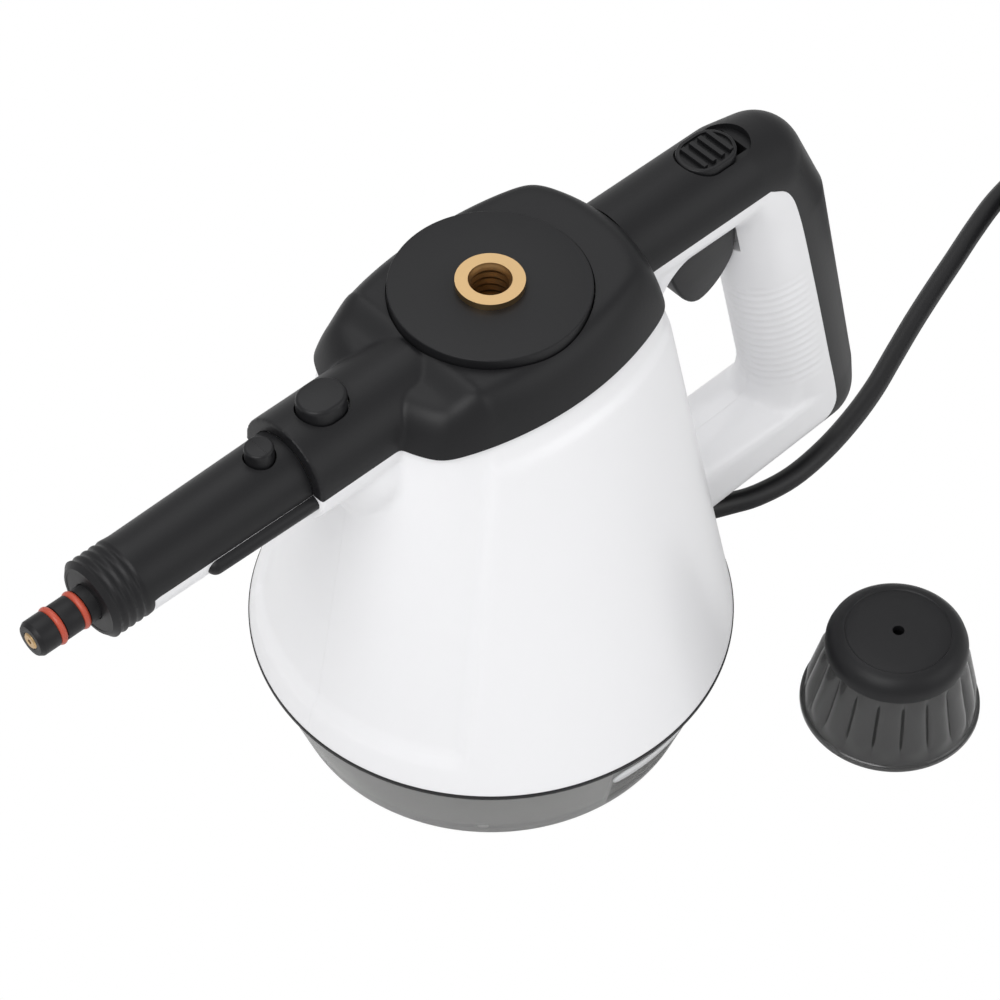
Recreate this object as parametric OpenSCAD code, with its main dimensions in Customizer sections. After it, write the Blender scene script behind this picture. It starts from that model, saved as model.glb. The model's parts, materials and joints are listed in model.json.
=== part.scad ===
// Hand-held steam generator with a screw-in filler cap, a push-on nozzle and a closed handle.
// Origin at the centre of the flat base, +Z up, nozzle towards -X, handle towards +X.

/* [Body] */
// Widest radius of the white body, at its rim
rim_r = 74.5; // [62:0.5:90]
// Height of the rim above the floor
rim_z = 34.4; // [28:0.2:42]
// Height of the plane where the white shells meet the black covers
part_z = 156; // [140:1:190]
// Half width of the body at that plane
shoulder_w = 37.3; // [35:0.1:45]
// Half length of the body at that plane
shoulder_l = 51.5; // [46:0.5:62]
// Radius of the bulging sides of the shoulder
shoulder_side_r = 105; // [90:1:140]
// Wall of the shells and covers
wall = 2.4; // [1.6:0.1:3]
// Height of the cover's crown above the parting plane
crown_h = 16; // [14:0.5:22]

/* [Base] */
// Radius of the base skirt at the floor
base_r = 63.2; // [55:0.1:75]
// Thickness of the base plate
plate_t = 3; // [2.5:0.5:5]
// Length of the pilot lamp lens
lens_l = 28; // [16:1:34]
// Height of the pilot lamp lens
lens_h = 8; // [6:0.5:10]
// Height of the lens centre above the floor
lens_z = 23; // [18:0.5:25]

/* [Nozzle] */
// Reach of the nozzle tip from the middle of the body
tip_reach = 165; // [150:1:190]
// Radius of the push-on spigot
spigot_r = 5.35; // [5:0.05:6.5]
// Length of spigot that stands out of the barrel
spigot_l = 19.6; // [16:0.2:30]
// Distance of the first seal groove from the tip
seal_first = 7.6; // [7:0.1:9]
// Distance between the two seal grooves
seal_pitch = 7.8; // [6:0.1:8]
// Thickness of a seal ring
seal_t = 2.2; // [1.6:0.1:2.4]
// How far a seal ring stands out of the spigot
seal_proud = 0.45; // [0.3:0.05:0.8]
// Radius of the barrel at its front
barrel_front_r = 11.65; // [10:0.05:14]
// Radius of the barrel where it enters the collar
barrel_rear_r = 12.35; // [11:0.05:14.5]
// Radius of the collar
collar_r = 16.2; // [15:0.1:20]
// Distance of the collar's front from the middle of the body
collar_reach = 77; // [72:1:90]

/* [Filler] */
// Radius of the round black disc around the filler
disc_r = 29.1; // [24:0.1:31]
// Height of the disc's face above the parting plane
disc_h = 19; // [18:0.1:26]
// Bore radius of the brass filler neck
neck_bore_r = 5.4; // [4.5:0.1:6]
// Outside radius of the brass filler neck
neck_r = 8; // [7.5:0.1:9]
// Radius of the neck's flange
neck_flange_r = 10; // [9:0.1:12]
// Height of the flange above the disc
neck_flange_h = 2.2; // [1.5:0.1:3]

/* [Handle] */
// Radius of the top bar of the handle
bar_r = 15; // [14:0.5:18]
// Distance from the middle of the body to the grip's middle at its top
grip_top_x = 112; // [108:1:125]
// Distance from the middle of the body to the grip's middle at its foot
grip_foot_x = 134; // [125:1:145]
// Half depth of the grip
grip_a = 20; // [18:0.5:23]
// Half width of the grip
grip_b = 15; // [14:0.5:17]

/* [Trigger] */
// Width of the trigger
trigger_w = 12; // [10:0.5:14]
// Radius of the trigger's pin
pin_r = 1.5; // [1.25:0.05:2]
// Angle through which the trigger is pulled
trigger_travel = 9; // [4:0.5:9]
// Running clearance of a pin or stem in its bore
run_clear = 0.05; // [0.03:0.01:0.08]
// Gap around pieces that move
move_gap = 0.5; // [0.4:0.1:0.8]

/* [Switch and release] */
// Length of the lock slide
slide_l = 18; // [14:0.5:20]
// Width of the lock slide
slide_w = 15; // [12:0.5:16]
// Travel of the lock slide
slide_travel = 5.5; // [4:0.5:7]
// Length of the oval release button
button_l = 15; // [13:0.5:18]
// Width of the oval release button
button_w = 12.5; // [10:0.5:14]
// Travel of the release button
button_travel = 3; // [2:0.5:3]
// Radius of the round catch
catch_r = 4.2; // [3.5:0.1:5]

/* [Boiler] */
// Outside radius of the boiler
boiler_r = 38; // [32:0.5:40]
// Depth of the lower half of the boiler
boiler_depth = 38; // [30:1:44]
// Height of the upper half of the boiler
boiler_dome = 36; // [30:1:38]
// Wall of the boiler
boiler_wall = 2.5; // [2:0.1:3.5]
// Number of boiler screws
boiler_screws_n = 6; // [4:1:8]

/* [Cap] */
// Radius of the cap's rim
cap_r = 28.2; // [25:0.1:30]
// Height of the fluted skirt of the cap
cap_skirt_h = 27; // [22:0.5:32]
// Whole height of the cap
cap_h = 35; // [32:0.5:42]
// Radius of the cap's flat top
cap_top_r = 17.3; // [15:0.1:20]
// Number of flutes on the skirt
cap_flutes = 18; // [12:1:24]
// Place of the removed cap beside the body, along X
cap_x = 83.2; // [80:0.5:110]
// Place of the removed cap beside the body, along Y
cap_y = -93.7; // [-120:0.5:-90]

/* [Cord] */
// Diameter of the mains cord
cord_d = 7.3; // [7:0.1:7.6]

/* [Hidden] */
$fn = 64;

thin = 0.5;
far = 400;
corner_r = 6;
fit_gap = 0.1;
seam = 0.1;

// Colours
white = [0.93, 0.93, 0.94];
black = [0.2, 0.2, 0.21];
smoke = [0.5, 0.5, 0.48, 0.6];
brass = [0.8, 0.62, 0.32];
steel = [0.75, 0.75, 0.77];
alloy = [0.7, 0.71, 0.72];
seal_red = [0.78, 0.3, 0.2];
silicone = [0.85, 0.55, 0.4];

// Handle
slice_top_z = part_z - 22;
slice_foot_z = 42;
bar_start_x = shoulder_l - 12;
bar_end_x = 95;
knuckle_x = 106;
knuckle_z = part_z - 3;
foot_ball_x = grip_foot_x + 5;
foot_ball_z = 33;
foot_bar_low = 20;
foot_bar_high = 45;
foot_bar_in = 66;
strip_edge = [[bar_start_x, part_z], [98, part_z], [106, part_z - 6], [112, part_z - 20],
              [121, 103], [131, 64], [137, 40], [136.5, 32], [132, 25], [126, 22], [66, 22]];

// Base
skirt_slope = (rim_r - 0.3 - base_r) / rim_z;
skirt_wall = 2.2;
post_orbit = 50;
post_r = 4;
base_screw_orbit = 58;
base_screw_r = 1.6;
base_boss_r = 4;
foot_r = 7;
foot_orbit = 48;
foot_t = 1.6;
lens_t = 2;

// Boiler
boiler_z = part_z - 66;
flange_t = 3;
gasket_t = 1.6;
boiler_flange_r = boiler_r + 8;
boiler_top_z = boiler_z + gasket_t + boiler_dome;
boss_r = neck_r + 3;
boiler_screw_r = 1.75;
boiler_screw_orbit = boiler_r + 4.4;
heater_r = 24;
terminal_x = 21.8;
terminal_y = 10;

// Valve and rod
rod_z = part_z + 4;
rod_t = 2;
yoke_in = neck_r + 4;
yoke_out = yoke_in + 3.5;
rod_front_x = -19.8;
valve_front_x = -44;
valve_bore_r = 1.5;
port_x = -38.5;
valve_rear_x = -28;
boiler_port_x = -30;
valve_w = 16;
valve_low = part_z - 16;
stem_r = 2;
stem_head_r = 4;
stem_head_t = 1.5;
pivot_x = 66;
pivot_z = part_z - 9;
rod_end_x = pivot_x - 7.6;
lever_reach = rod_z - pivot_z;
pin_half = bar_r - 3.6;

// Nozzle
tip_x = -tip_reach;
barrel_x = tip_x + spigot_l;
nose_l = 13.5;
pipe_r = 2.6;

// Switch
slide_x = 76;
slide_pocket_z = part_z + bar_r - 3.6;
slide_top_z = part_z + bar_r + 0.6;
button_x = -62.5;
catch_x = -85;
button_top_z = part_z + collar_r + 3.8;
catch_top_z = part_z + barrel_rear_r + 3.7;
catch_bar_z = part_z + 7.6;
catch_bar_t = 1.6;

// Cap
cap_low_r = 22.1;
cap_wall = 1.8;
core_r = neck_bore_r - 0.2;
core_flange_r = 9;
core_flange_z = 17;
core_flange_t = 7;
vent_r = 1.85;

// Cord outlet
gland_y = -3;
gland_z = 7.5;
gland_out_x = base_r + 5.4;

// Cord route: centre line from the gland to the coil, and from the coil to the plug
cord_r = cord_d / 2;
lead_route = [
  [90, -3, 7.5], [100, -5.5, 5.2], [110, -8.5, 4], [124, -10.5, 3.7], [140, -9.5, 3.7],
  [156, -6.5, 3.7], [172, -2, 3.7], [188, 4, 3.7], [204, 10, 3.7], [220, 15.5, 3.7],
  [236, 20.7, 3.7], [252, 26, 3.7], [268, 30.5, 3.7], [284, 32.8, 3.7], [299, 32.3, 3.7]
];
coil_x = 317;
coil_y = -15;
coil_mid_r = 40;
coil_w = 22;
coil_h = 29.4;
tail_route = [
  [364.3, -32, 25.7], [364.3, -42, 25.5], [364.3, -52.5, 24.4], [362.3, -64.9, 22.4],
  [356.7, -76, 19.8], [347.8, -84.9, 17], [336.7, -90.5, 14.5], [322, -92.5, 13]
];
plug_end_x = 322;
plug_y = -92.5;
plug_z = 13;
plug_l = 30;
relief_l = 21;
pin_l = 19;

// ---------- shared shapes ----------

module at_axis(x) {
  translate([x, 0, part_z]) rotate([0, 90, 0]) children();
}

module shoulder_outline(inset) {
  offset(r = corner_r, $fn = 24) offset(delta = -corner_r - inset) intersection() {
    translate([0, shoulder_side_r - shoulder_w]) circle(r = shoulder_side_r, $fn = 96);
    translate([0, shoulder_w - shoulder_side_r]) circle(r = shoulder_side_r, $fn = 96);
    circle(r = shoulder_l, $fn = 64);
  }
}

module body_form(inset) {
  hull() {
    translate([0, 0, rim_z]) cylinder(r = rim_r - inset, h = thin, $fn = 56);
    translate([0, 0, part_z - thin]) linear_extrude(thin) shoulder_outline(inset);
  }
}

module grip_slice(x, z, inset) {
  translate([x, 0, z]) linear_extrude(thin)
    polygon([for (a = [0:15:345]) [(grip_a - inset) * cos(a), (grip_b - inset) * sin(a)]]);
}

module foot_slice(x, inset) {
  translate([x, 0, 0]) rotate([90, 0, 90]) linear_extrude(thin) hull() {
    for (y = [-1, 1])
      for (z = [foot_bar_low + 7, foot_bar_high - 7])
        translate([y * (grip_b - 7), z]) circle(r = 7 - inset, $fn = 16);
  }
}

module handle_form(inset) {
  at_axis(bar_start_x) cylinder(r = bar_r - inset, h = bar_end_x - bar_start_x);
  hull() {
    at_axis(bar_end_x - thin) cylinder(r = bar_r - inset, h = thin, $fn = 24);
    translate([knuckle_x, 0, knuckle_z]) sphere(r = bar_r - inset, $fn = 24);
    grip_slice(grip_top_x, slice_top_z, inset);
  }
  hull() {
    grip_slice(grip_top_x, slice_top_z, inset);
    grip_slice(grip_foot_x, slice_foot_z, inset);
  }
  hull() {
    grip_slice(grip_foot_x, slice_foot_z, inset);
    translate([foot_ball_x, 0, foot_ball_z]) sphere(r = grip_b - inset, $fn = 24);
    foot_slice(foot_bar_in, inset);
  }
}

// Space outside the line where the black strip meets the white handle
module strip_zone() {
  translate([0, far / 2, 0]) rotate([90, 0, 0]) linear_extrude(far)
    polygon(concat(strip_edge, [[66, -10], [far / 2, -10], [far / 2, far / 2], [bar_start_x, far / 2]]));
}

module above_part() {
  translate([-far / 2, -far / 2, part_z]) cube([far, far, far]);
}

module below_part() {
  translate([-far / 2, -far / 2, part_z - far]) cube([far, far, far]);
}

module nozzle_form(inset) {
  at_axis(-collar_reach + inset) cylinder(r = collar_r - inset, h = collar_reach - 30 - inset);
  at_axis(barrel_x) cylinder(r1 = barrel_front_r - inset, r2 = barrel_rear_r - inset,
                             h = -collar_reach - barrel_x + wall);
}

// ---------- white shells ----------

shell_screw_spots = [[118, 104], [128, 66], [92, 33], [-58, part_z - 10]];
shell_boss_r = 3.6;
shell_screw_r = 1.5;

module base_bosses() {
  for (a = [45:90:315])
    intersection() {
      body_form(wall / 2);
      rotate([0, 0, a]) difference() {
        union() {
          translate([base_screw_orbit, 0, rim_z]) cylinder(r = base_boss_r, h = 22);
          translate([base_screw_orbit, -1.2, rim_z]) cube([20, 2.4, 22]);
        }
        translate([base_screw_orbit, 0, rim_z - 1]) cylinder(r = base_screw_r, h = 19);
      }
    }
}

module shell_hollow() {
  hull() {
    translate([0, 0, rim_z - thin]) cylinder(r = rim_r - wall, h = thin, $fn = 56);
    translate([0, 0, part_z]) linear_extrude(thin) shoulder_outline(wall);
  }
  nozzle_form(wall);
  handle_form(wall);
  at_axis(bar_start_x - 12) cylinder(r = bar_r - wall, h = 30);
}

module shell_pair() {
  $fn = 32;
  difference() {
    union() {
      body_form(0);
      nozzle_form(0);
      difference() {
        handle_form(0);
        strip_zone();
      }
    }
    difference() {
      shell_hollow();
      for (p = shell_screw_spots)
        translate([p[0], 0, p[1]]) rotate([90, 0, 0]) cylinder(r = shell_boss_r, h = far, center = true);
    }
    above_part();
    // clearance over the skirt
    cylinder(r1 = base_r + 0.4, r2 = rim_r + 0.1, h = rim_z);
    // bores of the trigger's pin
    translate([pivot_x, pin_half + fit_gap, pivot_z]) rotate([90, 0, 0])
      cylinder(r = pin_r + fit_gap, h = 2 * (pin_half + fit_gap));
    // mouth around the barrel's black nose
    at_axis(barrel_x - 1) cylinder(r = barrel_front_r + 2, h = nose_l + 1);
    // trigger slot in the underside of the top bar
    translate([pivot_x - 7, -trigger_w / 2 - move_gap, part_z - bar_r - 3])
      cube([38, trigger_w + 2 * move_gap, bar_r + 3 + thin]);
    // relief for the trigger in the top of the grip
    translate([pivot_x + 16, -trigger_w / 2 - move_gap, part_z - 30])
      cube([16, trigger_w + 2 * move_gap, 31]);
    // gland notch
    translate([50, gland_y, gland_z]) rotate([0, 90, 0]) cylinder(r = 9, h = 40);
    for (p = shell_screw_spots)
      translate([p[0], 0, p[1]]) rotate([90, 0, 0]) {
        translate([0, 0, -9.5]) cylinder(r = shell_screw_r, h = 17);
        translate([0, 0, -far / 2 - 9]) cylinder(r = 3.2, h = far / 2);
      }
  }
}

module body_shell_left() {
  color(white) intersection() {
    union() {
      shell_pair();
      base_bosses();
    }
    translate([-far / 2, -far - seam / 2, -far / 2]) cube([far, far, far]);
  }
}

module body_shell_right() {
  color(white) intersection() {
    union() {
      shell_pair();
      base_bosses();
    }
    translate([-far / 2, seam / 2, -far / 2]) cube([far, far, far]);
  }
}

module shell_screws() {
  color(steel) for (p = shell_screw_spots)
    translate([p[0], 0, p[1]]) rotate([90, 0, 0]) {
      translate([0, 0, -9]) cylinder(r = shell_screw_r - fit_gap, h = 16.3);
      difference() {
        translate([0, 0, -11]) cylinder(r = 2.8, h = 2);
        translate([0, 0, -11.5]) cylinder(r = 1.2, h = 1.5);
      }
    }
}

// ---------- black covers ----------

module cover_form(inset) {
  hull() {
    translate([0, 0, part_z]) linear_extrude(thin) shoulder_outline(inset);
    translate([0, 0, part_z + 7 - inset]) linear_extrude(thin) shoulder_outline(inset + 1.5);
    translate([0, 0, part_z + crown_h - 4 - inset]) linear_extrude(thin) shoulder_outline(inset + 4);
    translate([8, 0, part_z + crown_h + 1 - inset]) rotate([0, -2, 0]) linear_extrude(thin)
      intersection() {
        shoulder_outline(inset + 8);
        translate([-35 + inset, -far / 2]) square([far, far]);
      }
  }
}

module oval(l, w, h) {
  linear_extrude(h) hull() {
    for (s = [-1, 1])
      translate([s * (l - w) / 2, 0]) circle(r = w / 2, $fn = 32);
  }
}

module top_cover() {
  color(black) difference() {
    union() {
      cover_form(0);
      at_axis(-collar_reach) cylinder(r = collar_r, h = collar_reach - 30);
    }
    difference() {
      union() {
        cover_form(wall);
        at_axis(-collar_reach + wall) cylinder(r = collar_r - wall, h = collar_reach - wall - 47);
        at_axis(bar_start_x - 12) cylinder(r = bar_r - wall, h = 40);
      }
      // floor and wall of the disc's seat
      translate([0, 0, part_z + disc_h - 7.6]) cylinder(r = disc_r + 2.2, h = 20);
    }
    below_part();
    at_axis(bar_start_x + 6) cylinder(r = bar_r + fit_gap, h = 40);
    // disc seat and neck hole
    translate([0, 0, part_z + disc_h - 5]) cylinder(r = disc_r + fit_gap, h = 20);
    cylinder(r = neck_r + fit_gap, h = far);
    // valley between the crown and the collar
    translate([-37, 0, part_z + crown_h + 11]) rotate([90, 0, 0]) cylinder(r = 14, h = far, center = true);
    // opening for the barrel
    at_axis(-collar_reach - 1) cylinder(r = barrel_rear_r + fit_gap, h = wall + 2);
    translate([button_x, 0, part_z]) oval(button_l + 2 * move_gap, button_w + 2 * move_gap, 40);
  }
}

module handle_strip() {
  color(black) difference() {
    intersection() {
      handle_form(0);
      strip_zone();
    }
    handle_form(wall);
    at_axis(bar_start_x - 20) cylinder(r = far, h = 26);
    // stop short of the body and skirt
    cylinder(r = rim_r + 2.5, h = rim_z);
    translate([slide_x + slide_l / 2 - 1 - move_gap, 0, slide_pocket_z])
      linear_extrude(20) hull() {
        for (x = [0, slide_l + slide_travel - slide_w + 2 * move_gap])
          translate([x - slide_l / 2 + slide_w / 2 + 1, 0]) circle(r = slide_w / 2 + move_gap, $fn = 48);
      }
    translate([slide_x + 4, -3, part_z + 5]) cube([slide_l - 8 + slide_travel, 6, 20]);
  }
  // floor of the switch pocket
  color(black) difference() {
    translate([slide_x - 3, -slide_w / 2 + 1, slide_pocket_z - 1.6])
      cube([slide_l + slide_travel + 6, slide_w - 2, 1.6]);
    translate([slide_x + 4, -3, part_z + 5]) cube([slide_l - 8 + slide_travel, 6, 20]);
  }
}

module nozzle_barrel() {
  color(black) {
    difference() {
      union() {
        difference() {
          at_axis(barrel_x) cylinder(r1 = barrel_front_r, r2 = barrel_rear_r,
                                     h = -collar_reach - barrel_x + wall);
          at_axis(barrel_x + wall) cylinder(r1 = barrel_front_r - wall, r2 = barrel_rear_r - wall,
                                            h = -collar_reach - barrel_x + wall);
          difference() {
            below_part();
            at_axis(barrel_x - 1) cylinder(r = far, h = nose_l + 1 - fit_gap);
          }
        }
        // ribs of the nose
        for (i = [0:4])
          at_axis(barrel_x + 2 + 2.6 * i) rotate_extrude()
            translate([barrel_front_r - 0.4, 0]) circle(r = 0.8, $fn = 16);
      }
      at_axis(barrel_x - 1) cylinder(r = spigot_r + fit_gap, h = 6);
      translate([catch_x, 0, part_z + 2]) cylinder(r = catch_r + move_gap, h = 20);
    }
  }
}

module nozzle_tip() {
  tip_back = barrel_x + wall + fit_gap;
  color(black) difference() {
    union() {
      at_axis(tip_x) cylinder(r1 = spigot_r - 0.7, r2 = spigot_r, h = 1);
      at_axis(tip_x + 1) cylinder(r = spigot_r, h = tip_back - tip_x + 2);
      at_axis(tip_back) cylinder(r = barrel_front_r - wall - 0.6, h = 4);
      at_axis(tip_back) cylinder(r = spigot_r, h = 14);
    }
    for (i = [0, 1])
      at_axis(tip_x + seal_first + seal_pitch * i - seal_t / 2 - 0.1) difference() {
        cylinder(r = spigot_r + 1, h = seal_t + 0.2);
        translate([0, 0, -1]) cylinder(r = spigot_r + seal_proud - seal_t - 0.02, h = seal_t + 3);
      }
    at_axis(tip_x - 1) cylinder(r = 2.6, h = 11);
    at_axis(tip_x - 1) cylinder(r = 1.5, h = 60);
    at_axis(tip_back + 6) cylinder(r = pipe_r + run_clear, h = 20);
  }
}

module tip_orings() {
  color(seal_red) for (i = [0, 1])
    at_axis(tip_x + seal_first + seal_pitch * i) rotate_extrude()
      translate([spigot_r + seal_proud - seal_t / 2, 0]) circle(r = seal_t / 2, $fn = 24);
}

module steam_jet() {
  color(brass) difference() {
    at_axis(tip_x - 0.3) cylinder(r = 2.55, h = 9.6);
    at_axis(tip_x - 1) cylinder(r = 0.72, h = 12);
    at_axis(tip_x + 2) cylinder(r = 1.5, h = 12);
  }
}

module steam_pipe() {
  pipe_from = barrel_x + wall + 6.5;
  color(silicone) difference() {
    at_axis(pipe_from) cylinder(r = pipe_r, h = valve_front_x - pipe_from);
    at_axis(pipe_from - 1) cylinder(r = 1.4, h = far / 2);
  }
}

// ---------- filler ----------

module filler_disc() {
  color(black) difference() {
    translate([0, 0, part_z + disc_h - 5]) cylinder(r = disc_r, h = 5);
    cylinder(r = neck_r + fit_gap, h = far);
  }
}

module filler_neck() {
  color(brass) difference() {
    union() {
      translate([0, 0, boiler_top_z - 4]) cylinder(r = neck_r, h = part_z + disc_h - boiler_top_z + 5);
      translate([0, 0, part_z + disc_h]) cylinder(r = neck_flange_r, h = neck_flange_h);
    }
    translate([0, 0, boiler_top_z - 5]) cylinder(r = neck_bore_r, h = far);
    translate([0, 0, part_z + disc_h + neck_flange_h - 0.8])
      cylinder(r1 = neck_bore_r, r2 = neck_bore_r + 0.9, h = 0.9);
  }
}

module neck_gasket() {
  color(seal_red) difference() {
    translate([0, 0, boiler_top_z + 8]) cylinder(r = boss_r, h = 1.5);
    cylinder(r = neck_r + fit_gap, h = far);
  }
}

// ---------- boiler ----------

module boiler_upper_profile(inset) {
  top = boiler_dome - inset;
  side = boiler_r - inset;
  polygon([[0, 0], [side, 0], [side, top * 0.5], [side * 0.93, top * 0.72],
           [side * 0.72, top * 0.9], [side * 0.42, top * 0.985], [side * 0.3, top], [0, top]]);
}

module boiler_lower_profile(inset) {
  low = boiler_depth - inset;
  side = boiler_r - inset;
  polygon([[0, 0], [side, 0], [side, -low * 0.7], [side * 0.93, -low * 0.88],
           [side * 0.78, -low * 0.98], [side * 0.6, -low], [0, -low]]);
}

module boiler_screw_ring() {
  for (a = [0:360 / boiler_screws_n:359])
    rotate([0, 0, a + 15]) translate([boiler_screw_orbit, 0, 0]) children();
}

module post_ring() {
  for (a = [60:120:300])
    rotate([0, 0, a]) translate([post_orbit, 0, 0]) children();
}

module boiler_upper() {
  color(alloy) difference() {
    union() {
      translate([0, 0, boiler_z + gasket_t]) {
        rotate_extrude() boiler_upper_profile(0);
        cylinder(r = boiler_flange_r, h = flange_t);
      }
      translate([0, 0, boiler_top_z - 6]) cylinder(r = boss_r, h = 14);
      translate([boiler_port_x, 0, boiler_top_z - 8]) cylinder(r = 5.5, h = 7);
    }
    translate([0, 0, boiler_z + gasket_t - thin]) rotate_extrude() boiler_upper_profile(boiler_wall);
    translate([0, 0, boiler_top_z - 12]) cylinder(r = neck_bore_r, h = 30);
    translate([0, 0, boiler_top_z - 4]) cylinder(r = neck_r, h = 30);
    translate([boiler_port_x, 0, boiler_top_z - 16]) cylinder(r = 2, h = 30);
    translate([0, 0, boiler_z]) boiler_screw_ring() cylinder(r = boiler_screw_r + fit_gap, h = 12);
  }
}

module boiler_lower() {
  color(alloy) difference() {
    union() {
      translate([0, 0, boiler_z]) rotate_extrude() boiler_lower_profile(0);
      translate([0, 0, boiler_z - flange_t]) cylinder(r = boiler_flange_r, h = flange_t);
      translate([0, 0, boiler_z - flange_t]) post_ring() cylinder(r = 6, h = flange_t);
      translate([0, 0, boiler_z - flange_t]) post_ring() translate([-8, -4, 0]) cube([8, 8, flange_t]);
      // cast-in heater loop under the floor of the bowl
      translate([0, 0, boiler_z - boiler_depth]) rotate_extrude() translate([heater_r, 0]) circle(r = 4, $fn = 24);
    }
    translate([0, 0, boiler_z + thin]) rotate_extrude() boiler_lower_profile(boiler_wall);
    translate([0, 0, boiler_z - 20]) boiler_screw_ring() cylinder(r = boiler_screw_r, h = 30);
    translate([0, 0, boiler_z - 20]) post_ring() cylinder(r = 1.7, h = 30);
    for (s = [-1, 1])
      translate([terminal_x, s * terminal_y, boiler_z - boiler_depth - 5]) cylinder(r = 2.1, h = 6);
  }
}

module boiler_gasket() {
  color(silicone) translate([0, 0, boiler_z]) difference() {
    cylinder(r = boiler_flange_r - 0.5, h = gasket_t);
    translate([0, 0, -1]) cylinder(r = boiler_r - boiler_wall, h = 4);
    translate([0, 0, -1]) boiler_screw_ring() cylinder(r = boiler_screw_r + fit_gap, h = 4);
  }
}

module boiler_screws() {
  color(steel) {
    translate([0, 0, boiler_z + gasket_t + flange_t]) boiler_screw_ring() {
      difference() {
        cylinder(r = 3, h = 2.4);
        translate([0, 0, 1]) cylinder(r = 1.4, h = 2);
      }
    }
    translate([0, 0, boiler_z - flange_t - 1]) boiler_screw_ring()
      cylinder(r = boiler_screw_r - 0.02, h = flange_t * 2 + gasket_t + 1);
  }
}

module heater_terminals() {
  color(steel) for (s = [-1, 1])
    translate([terminal_x, s * terminal_y, boiler_z - boiler_depth - 12]) {
      cylinder(r = 2, h = 12.9);
      translate([-3, -0.4, -7]) cube([6, 0.8, 7.5]);
    }
}

module thermostat() {
  color(alloy) translate([0, 0, boiler_z - boiler_depth - 9]) {
    cylinder(r = 8, h = 5);
    cylinder(r = 5, h = 9);
    for (s = [-1, 1])
      translate([s * 5 - 0.4, -3, -7]) cube([0.8, 6, 7.5]);
  }
}

module thermal_fuse() {
  color(steel) {
    translate([-24, -8, boiler_z - boiler_depth - 6.1]) rotate([-90, 0, 0]) cylinder(r = 2, h = 16);
    for (s = [-1, 1])
      translate([-24, s * 10 - 1, boiler_z - boiler_depth - 7])
        translate([-3, 0, 0]) cube([6, 2, 3]);
    for (s = [-1, 1])
      translate([-24, s * 8 + (s > 0 ? 0 : -3), boiler_z - boiler_depth - 6.1])
        rotate([-90, 0, 0]) cylinder(r = 0.6, h = 3);
  }
}

// ---------- valve and rod ----------

module valve_body() {
  color(brass) difference() {
    union() {
      translate([valve_front_x, -valve_w / 2, valve_low])
        cube([valve_rear_x - valve_front_x, valve_w, rod_z + 3.5 - valve_low]);
      translate([boiler_port_x, 0, boiler_top_z - 1]) cylinder(r = 5.5, h = valve_low - boiler_top_z + 3);
    }
    translate([boiler_port_x, 0, boiler_top_z - 2]) cylinder(r = valve_bore_r, h = rod_z - boiler_top_z + 2);
    at_axis(valve_front_x - 1) cylinder(r = 1.4, h = port_x - valve_front_x + 1);
    translate([port_x, 0, part_z]) cylinder(r = 1.2, h = rod_z - part_z);
    translate([valve_rear_x + 1, 0, rod_z]) rotate([0, -90, 0]) cylinder(r = stem_r + run_clear, h = 13);
  }
}

module valve_stem() {
  color(steel) {
    translate([valve_rear_x - 8, 0, rod_z]) rotate([0, 90, 0])
      cylinder(r = stem_r, h = rod_front_x - valve_rear_x + 8);
    translate([rod_front_x - stem_head_t - 0.02, 0, rod_z]) rotate([0, 90, 0])
      cylinder(r = stem_head_r, h = stem_head_t);
  }
}

// Rings of the tube are swept by functions, so that a spring is one closed solid
function ring_points(c, t, r, n) =
  let (u = abs(t[2]) < 0.9 ? [0, 0, 1] : [1, 0, 0],
       s = cross(t, u) / norm(cross(t, u)),
       w = cross(s, t))
  [for (k = [0:n - 1]) c + r * (cos(k * 360 / n) * s + sin(k * 360 / n) * w)];

module swept_tube(path, r, n) {
  m = len(path);
  tangents = [for (i = [0:m - 1])
    let (d = path[min(i + 1, m - 1)] - path[max(i - 1, 0)]) d / norm(d)];
  points = [for (i = [0:m - 1]) each ring_points(path[i], tangents[i], r, n)];
  sides = [for (i = [0:m - 2]) for (k = [0:n - 1])
    [i * n + k, i * n + (k + 1) % n, (i + 1) * n + (k + 1) % n, (i + 1) * n + k]];
  start_cap = [[for (k = [n - 1:-1:0]) k]];
  end_cap = [[for (k = [0:n - 1]) (m - 1) * n + k]];
  polyhedron(points = points, faces = concat(sides, start_cap, end_cap), convexity = 6);
}

function coil_path(mean_r, turns, length, steps) =
  [for (i = [0:turns * steps]) let (a = i * 360 / steps)
    [mean_r * cos(a), mean_r * sin(a), length * i / (turns * steps)]];

module coil_spring(mean_r, wire_r, turns, length) {
  translate([0, 0, wire_r]) swept_tube(coil_path(mean_r, turns, length - 2 * wire_r, 14), wire_r, 6);
}

module valve_spring() {
  color(steel) translate([valve_rear_x + 0.2, 0, rod_z]) rotate([0, 90, 0])
    coil_spring(stem_r + 1.1, 0.45, 4, rod_front_x - stem_head_t - valve_rear_x - 0.4);
}

module push_rod() {
  color(steel) translate([0, 0, rod_z - rod_t / 2]) {
    difference() {
      union() {
        cylinder(r = yoke_out, h = rod_t);
        translate([rod_front_x, -2.5, 0]) cube([5 - rod_front_x - yoke_in + 4, 5, rod_t]);
        translate([yoke_in + 1, -2.5, 0]) cube([rod_end_x - yoke_in - 1, 5, rod_t]);
      }
      translate([0, 0, -1]) cylinder(r = yoke_in, h = rod_t + 2);
    }
  }
}

// ---------- trigger ----------

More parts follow.
